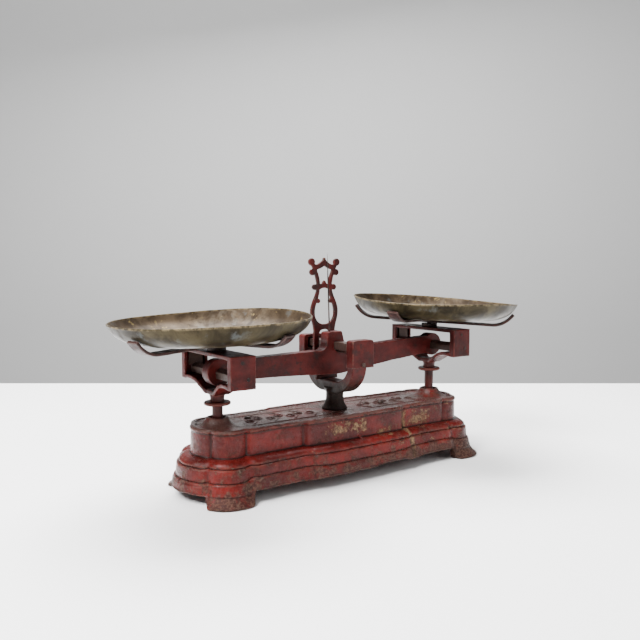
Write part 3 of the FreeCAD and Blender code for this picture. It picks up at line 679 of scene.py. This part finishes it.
def lower_rows(plan, top_line):
    """The skirt, its lower edge and the feet, down to their soles and up inside."""
    rows = []
    for share in LOWER_STEPS:
        height = top_line + (plan.sole + 2.4 - top_line) * share
        row = plan.level(height, skirt_growth(plan, height))
        row[:, 1] += plan.bead
        row[:, :2] += (1 - share) * plan.notch
        rows.append(row)
    for lift, inset in ((2.4, 0.0), (0.9, 0.5), (0.1, 1.8), (0.0, 3.2)):
        rows.append(plan.level(plan.sole + lift, skirt_growth(plan, plan.sole) - inset))
    inner = 19.5 - 1.5 * plan.footing
    for lift, inset in ((0.0, -1.4), (0.5, -0.3), (3.0, 0.0), (8.0, 0.3)):
        rows.append(plan.level(plan.sole + lift, inner - inset))
    return rows


def base_rows():
    """The closed section, row by row round the plan: plate, rim, mouldings, feet, inside, underside."""
    plan = BasePlan()
    rows = upper_rows(plan)
    rows += lower_rows(plan, rows[-1][:, 2])
    rows += [plan.level(height, growth) for height, growth in INNER_ROWS]
    upper = to_spine(rows[0], 18)[::-1]
    under = to_spine(rows[-1], 5)
    return np.array(upper + rows + under)


def to_spine(ring, count):
    """Rings that draw a level ring in to a line along X."""
    spine = np.clip(ring[:, 0], -SPINE, SPINE)
    rings = []
    for share in np.arange(1, count + 1) / count:
        row = ring.copy()
        row[:, 0] += (spine - ring[:, 0]) * share
        row[:, 1] *= 1 - share
        rings.append(row)
    return rings


# A collar on the top plate, from its bore over its crown to its foot: radius, height
COLLAR_SECTION = (
    (12.0, 85.0), (12.0, 90.0), (12.0, 96.0), (12.0, 101.0), (12.1, 103.4), (12.7, 104.6),
    (13.8, 105.0), (15.0, 104.6), (15.8, 103.4), (16.6, 101.4), (18.0, 99.0), (20.0, 96.6),
    (22.2, 94.7), (24.6, 93.4), (27.0, 92.7), (29.5, 92.35), (32.0, 92.1), (32.5, 90.5),
    (32.5, 88.2), (26.0, 86.0), (16.0, 85.0))
COLLAR_COLUMNS = 96
BORE_SECTION = ((0.0, 80.0), (14.0, 80.0), (14.0, 100.0), (0.0, 100.0))
BORE_COLUMNS = 48


def turned_mesh(name, section, x, columns, lump=0.0):
    """A closed section given as radius and height, turned about an upright line at x."""
    points = []
    for radius, height in section:
        for column in range(columns):
            angle = 2 * math.pi * column / columns
            spot = Vector((radius * math.cos(angle), radius * math.sin(angle), height))
            rise = lump * noise.noise(spot * 0.09 + Vector((x, 0, 0))) * smooth_step(height, 92, 99)
            points.append(((x + spot.x) * MM, spot.y * MM, (spot.z + rise) * MM))
    mesh = bpy.data.meshes.new(name)
    mesh.from_pydata(points, [], grid_faces(len(section), columns, closed=True))
    weld(mesh)
    return mesh


def boolean(piece, operation, mesh):
    """The piece cut by, or joined to, another closed mesh."""
    tool = link("tool", mesh)
    modifier = piece.modifiers.new("boolean", "BOOLEAN")
    modifier.operation = operation
    modifier.solver = "EXACT"
    modifier.object = tool
    result = evaluated(piece)
    piece.modifiers.clear()
    piece.data = result
    bpy.data.objects.remove(tool)


def base_casting():
    """The hollow base with its two collars, in one casting."""
    rows = base_rows()
    mesh = bpy.data.meshes.new("base_casting_cast")
    mesh.from_pydata((rows.reshape(-1, 3) * MM).tolist(), [], grid_faces(*rows.shape[:2]))
    weld(mesh)
    piece = link("base_casting_cast", mesh)
    for side in (-1, 1):
        place = side * ARM_SPAN
        boolean(piece, "DIFFERENCE", turned_mesh("bore", BORE_SECTION, place, BORE_COLUMNS))
        boolean(piece, "UNION", turned_mesh("collar", COLLAR_SECTION, place, COLLAR_COLUMNS, 1.4))
    mesh = piece.data
    points = sand_cast(read_points(mesh), read_normals(mesh), 0.45 * MM, 3)
    points[:, 2] = np.maximum(points[:, 2], 0)
    reshape(mesh, points)
    mark_edges(mesh, 1)
    smooth_shaded(mesh)
    finish_piece(piece, "base", "base_paint", "base_casting")


def relief_strip(path, width, height, up):
    """A raised rounded strip along a path of points: its rings of points, tapered to both ends."""
    rings = []
    for index, place in enumerate(path):
        ahead = path[min(index + 1, len(path) - 1)] - path[max(index - 1, 0)]
        across = ahead.cross(up).normalized()
        share = math.sin(math.pi * (0.06 + 0.88 * index / (len(path) - 1))) ** 0.5
        reach, rise = across * (width * share), up * (height * share)
        rings.append([place + reach * math.cos(turn) + rise * math.sin(turn)
                      for turn in np.arange(10) * math.pi / 5])
    return rings


def strips_mesh(name, strips):
    """All the strips as one mesh of closed tubes."""
    points, faces = [], []
    for rings in strips:
        start = len(points)
        count = len(rings[0])
        points += [point * MM for ring in rings for point in ring]
        faces += [tuple(start + corner for corner in face) for face in grid_faces(len(rings), count)]
        faces.append(tuple(range(start + count - 1, start - 1, -1)))
        faces.append(tuple(range(len(points) - count, len(points))))
    mesh = bpy.data.meshes.new(name)
    mesh.from_pydata(points, [], faces)
    return mesh


def scroll(x, y, size, flip, turns=1.15):
    """A spiral in the top plate's plane, wound in from its tail."""
    path = []
    for share in np.linspace(0, 1, 22):
        angle = flip * (math.pi * (0.5 + 2 * turns * share))
        radius = size * (1 - 0.72 * share)
        path.append(Vector((x + radius * math.cos(angle), y + radius * math.sin(angle), PLATE_TOP)))
    return path


# The hooked lump on the front: two paths of places, each with its half width
HOOK_PATHS = (
    (((-14, -56, 59.5), (-9, -56.4, 60.5), (-5, -57, 63.0), (-2, -57.5, 65.5), (1, -57.8, 65.0),
      (5, -57.5, 62.5), (9, -56.8, 60.5), (14, -56, 60.0)), 1.2),
    (((-1, -58, 62), (1.5, -63, 59.0), (3.0, -69.5, 56), (3.0, -72, 52), (1.5, -73, 49.5)), 1.6))


def cast_relief():
    """Raised scrolls in two runs on the top plate, and a hooked lump on the front moulding."""
    up = Vector((0, 0, 1))
    strips = []
    for side in (-1, 1):
        for index in range(7):
            x = side * (48 + 17 * index)
            flip = 1 if index % 2 else -1
            strips.append(relief_strip(scroll(x, flip * 4, 8.5, flip), 1.3, 1.6, up))
            leaf = [Vector((x + side * along, flip * (18 + 5 * math.sin(along / 4)), PLATE_TOP))
                    for along in np.linspace(-6.5, 6.5, 10)]
            strips.append(relief_strip(leaf, 1.5, 1.3, up))
        for across in (30, -30):
            border = [Vector((side * along, across, PLATE_TOP)) for along in np.linspace(36, 164, 12)]
            strips.append(relief_strip(border, 1.0, 1.0, up))
    strips += [relief_strip([Vector(place) for place in path], width, 1.5, Vector((0, -1, 0)))
               for path, width in HOOK_PATHS]
    mesh = strips_mesh("plate_relief", strips)
    write_attribute(mesh, "edge", np.full(len(mesh.vertices), 0.5))
    write_attribute(mesh, "hollow", np.zeros(len(mesh.vertices)))
    smooth_shaded(mesh)
    finish_piece(link("plate_relief", mesh), "base", "base_paint")


# ------------------------------------------------------------------ pans

# A pan's outside, from its middle to its rim: radius, height
PAN_OUTLINE = ((0.0, 0.0), (40.0, 0.0), (86.0, 0.2), (101.0, 1.5), (112.0, 4.4), (120.5, 8.4),
               (127.5, 13.6), (132.0, 19.2), (135.3, 26.0), (136.2, 28.0))
PAN_GAUGE = 1.6
PAN_COLUMNS = 192
# How each rim is bent: waves round it, where the first one peaks in degrees, height
PAN_WAVES = {
    "left_pan": ((2, 35.0, 1.3), (3, 20.0, 0.9), (1, 300.0, 1.1)),
    "right_pan": ((2, 100.0, 2.2), (3, 150.0, 0.9), (1, 215.0, 0.7)),
}


def rounded(outline, count):
    """A smooth line through the outline's points, evenly divided."""
    points = np.array(outline)
    lengths = np.concatenate(([0], np.cumsum(np.hypot(*np.diff(points, axis=0).T))))
    places = np.linspace(0, lengths[-1], count)
    radius = np.interp(places, lengths, points[:, 0])
    height = np.interp(places, lengths, points[:, 1])
    for _ in range(6):
        height[1:-1] = (height[:-2] + 2 * height[1:-1] + height[2:]) / 4
        radius[1:-1] = (radius[:-2] + 2 * radius[1:-1] + radius[2:]) / 4
    return np.stack((radius, height), 1)


def pan_section():
    """Closed section of a pan: up the outside, over a rolled rim and down the inside."""
    outside = rounded(PAN_OUTLINE, 64)
    along = np.gradient(outside, axis=0)
    along /= np.hypot(*along.T)[:, None]
    inward = np.stack((-along[:, 1], along[:, 0]), 1)
    inside = (outside + PAN_GAUGE * inward)[::-1]
    inside[-1, 0] = 0
    middle = (outside[-1] + inside[0]) / 2
    bead = [middle + 0.62 * PAN_GAUGE * np.array((math.cos(turn), math.sin(turn)))
            for turn in np.radians(np.linspace(-20, 200, 9))]
    return np.concatenate((outside[:-1], bead, inside[1:])), len(outside) - 1, len(bead)


def pan(node):
    """A spun brass pan, its rim bent out of true by use."""
    place = mounts[node + "_floor"]
    axis = Vector(place["axis"])
    floor = Vector(place["pos_m"])
    section, outer_rows, bead_rows = pan_section()
    turn = Vector((0, 0, 1)).rotation_difference(axis).to_matrix()
    points, inside, rim = [], [], []
    for row, (radius, height) in enumerate(section):
        for column in range(PAN_COLUMNS):
            angle = 2 * math.pi * column / PAN_COLUMNS
            bend = (radius / PAN_OUTLINE[-1][0]) ** 4
            wave = sum(size * math.cos(order * (angle - math.radians(start)))
                       for order, start, size in PAN_WAVES[node])
            local = Vector((radius * math.cos(angle), radius * math.sin(angle),
                            height - PAN_GAUGE + bend * wave)) * MM
            local.z += 0.35 * MM * noise.noise(local * 32) * bend
            points.append(floor + turn @ local)
            inside.append(1.0 if row >= outer_rows + bead_rows - 2 else 0.0)
            rim.append(1.0 if outer_rows <= row < outer_rows + bead_rows else 0.0)
    mesh = bpy.data.meshes.new(node + "_spun")
    mesh.from_pydata(points, [], grid_faces(len(section), PAN_COLUMNS))
    write_attribute(mesh, "inside", np.array(inside))
    write_attribute(mesh, "rim", np.array(rim))
    weld(mesh)
    smooth_shaded(mesh)
    look = node.replace("pan", "brass")
    return finish_piece(link(node + "_spun", mesh), node, "pan_brass", node, look=look)


def grid_faces(rows, columns, closed=False):
    """Quads of a grid that closes on itself round its columns, and from its last row to its first."""
    faces = []
    for row in range(rows if closed else rows - 1):
        start, above = row * columns, (row + 1) % rows * columns
        for column in range(columns):
            beside = (column + 1) % columns
            faces.append((start + column, start + beside, above + beside, above + column))
    return faces


def weld(mesh):
    """Merge coincident points and turn the faces outward."""
    work = bmesh.new()
    work.from_mesh(mesh)
    bmesh.ops.remove_doubles(work, verts=work.verts, dist=0.00002)
    bmesh.ops.recalc_face_normals(work, faces=work.faces)
    work.to_mesh(mesh)
    work.free()


# ------------------------------------------------------------------ stage, lights and camera


def plain(name, grey, roughness):
    s = Shader(name)
    tint = s.mix(s.noise(3, 3), (grey,) * 3, (0.97 * grey,) * 3)
    return s.finish(Base_Color=tint, Roughness=roughness, Specular_IOR_Level=0.1)


def slab(name, low, high, material):
    """A block in the camera's heading, given by its lowest and highest corners."""
    corners = list(itertools.product(*zip(low, high)))
    faces = [(0, 1, 3, 2), (4, 6, 7, 5), (0, 4, 5, 1), (2, 3, 7, 6), (0, 2, 6, 4), (1, 5, 7, 3)]
    mesh = bpy.data.meshes.new(name)
    mesh.from_pydata(corners, [], faces)
    mesh.materials.append(material)
    block = link(name, mesh)
    block.rotation_euler.z = -math.radians(CAMERA_HEADING)


def make_stage():
    slab("plinth", (-2.5, -3.0, -0.4), (2.5, PLINTH_BACK, 0), plain("plinth_paint", PLINTH_GREY, 0.7))
    slab("wall", (-6.0, WALL_PLACE, -2.0), (6.0, WALL_PLACE + 0.1, 4.0),
         plain("wall_paint", WALL_GREY, 0.9))


def softbox(name, place, size, power):
    light = bpy.data.lights.new(name, "AREA")
    light.shape = "RECTANGLE"
    light.size, light.size_y = size
    light.energy = power
    lamp = link(name, light)
    lamp.location = place
    lamp.rotation_euler = (Vector(LAMP_TARGET) - Vector(place)).to_track_quat("-Z", "Y").to_euler()


def make_world():
    """A grey surround, darker above eye level."""
    world = bpy.data.worlds.new("studio")
    bpy.context.scene.world = world
    world.use_nodes = True
    tree = world.node_tree
    place = tree.nodes.new("ShaderNodeTexCoord")
    split = tree.nodes.new("ShaderNodeSeparateXYZ")
    fade = tree.nodes.new("ShaderNodeMapRange")
    shade = tree.nodes.new("ShaderNodeMix")
    shade.data_type = "RGBA"
    shade.inputs[6].default_value = (*(WORLD_LOW,) * 3, 1)
    shade.inputs[7].default_value = (*(WORLD_HIGH,) * 3, 1)
    fade.inputs["From Min"].default_value = -0.15
    fade.inputs["From Max"].default_value = 0.35
    tree.links.new(place.outputs["Generated"], split.inputs["Vector"])
    tree.links.new(split.outputs["Z"], fade.inputs["Value"])
    tree.links.new(fade.outputs["Result"], shade.inputs[0])
    tree.links.new(shade.outputs[2], tree.nodes["Background"].inputs["Color"])


def make_camera():
    data = bpy.data.cameras.new("camera")
    data.lens = CAMERA_LENS
    data.sensor_width = CAMERA_SENSOR
    camera = link("camera", data)
    camera.location = CAMERA_PLACE
    camera.rotation_euler = (math.radians(90 - CAMERA_DROP), 0, -math.radians(CAMERA_HEADING))
    bpy.context.scene.camera = camera


# ------------------------------------------------------------------ the object

materials = make_materials()


def keep_with_material(node, look):
    mesh = nodes[node].data
    mesh.materials.clear()
    mesh.materials.append(materials[look])


def make_castings():
    base_casting()
    cast_relief()
    cast_copy("column_fork", 1.0 * MM, 0.4 * MM, "dark_iron", look="fork_iron")
    cast_copy("indicator_frame", 0.6 * MM, 0.15 * MM, "frame_paint")
    cast_copy("beam", 0.9 * MM, 0.35 * MM, "beam_paint")
    for side in ("left", "right"):
        cast_copy(side + "_carrier_frame", 1.0 * MM, 0.35 * MM, "beam_paint")
        cast_copy(side + "_stem", 0.8 * MM, 0.25 * MM, "beam_paint", look="turned_iron")
        cast_copy(side + "_dust_disc", 0.7 * MM, 0.2 * MM, "strap_iron", look="turned_iron")
        for level in ("lower", "upper"):
            cast_copy(f"{side}_{level}_strap", 0.8 * MM, 0.25 * MM, "strap_iron")


def look_of(node):
    """The look of a node that is kept as packed, by its kind."""
    if "rivets" in node:
        return "rivet_iron"
    if "hub" in node or "stay" in node or node == "needle":
        return "dark_iron"
    return "steel"


make_castings()
pan("left_pan")
pan("right_pan")
for name, part in nodes.items():
    if not part.hide_render:
        keep_with_material(name, look_of(name))
make_stage()
for lamp in LAMPS:
    softbox(*lamp)
make_world()
make_camera()
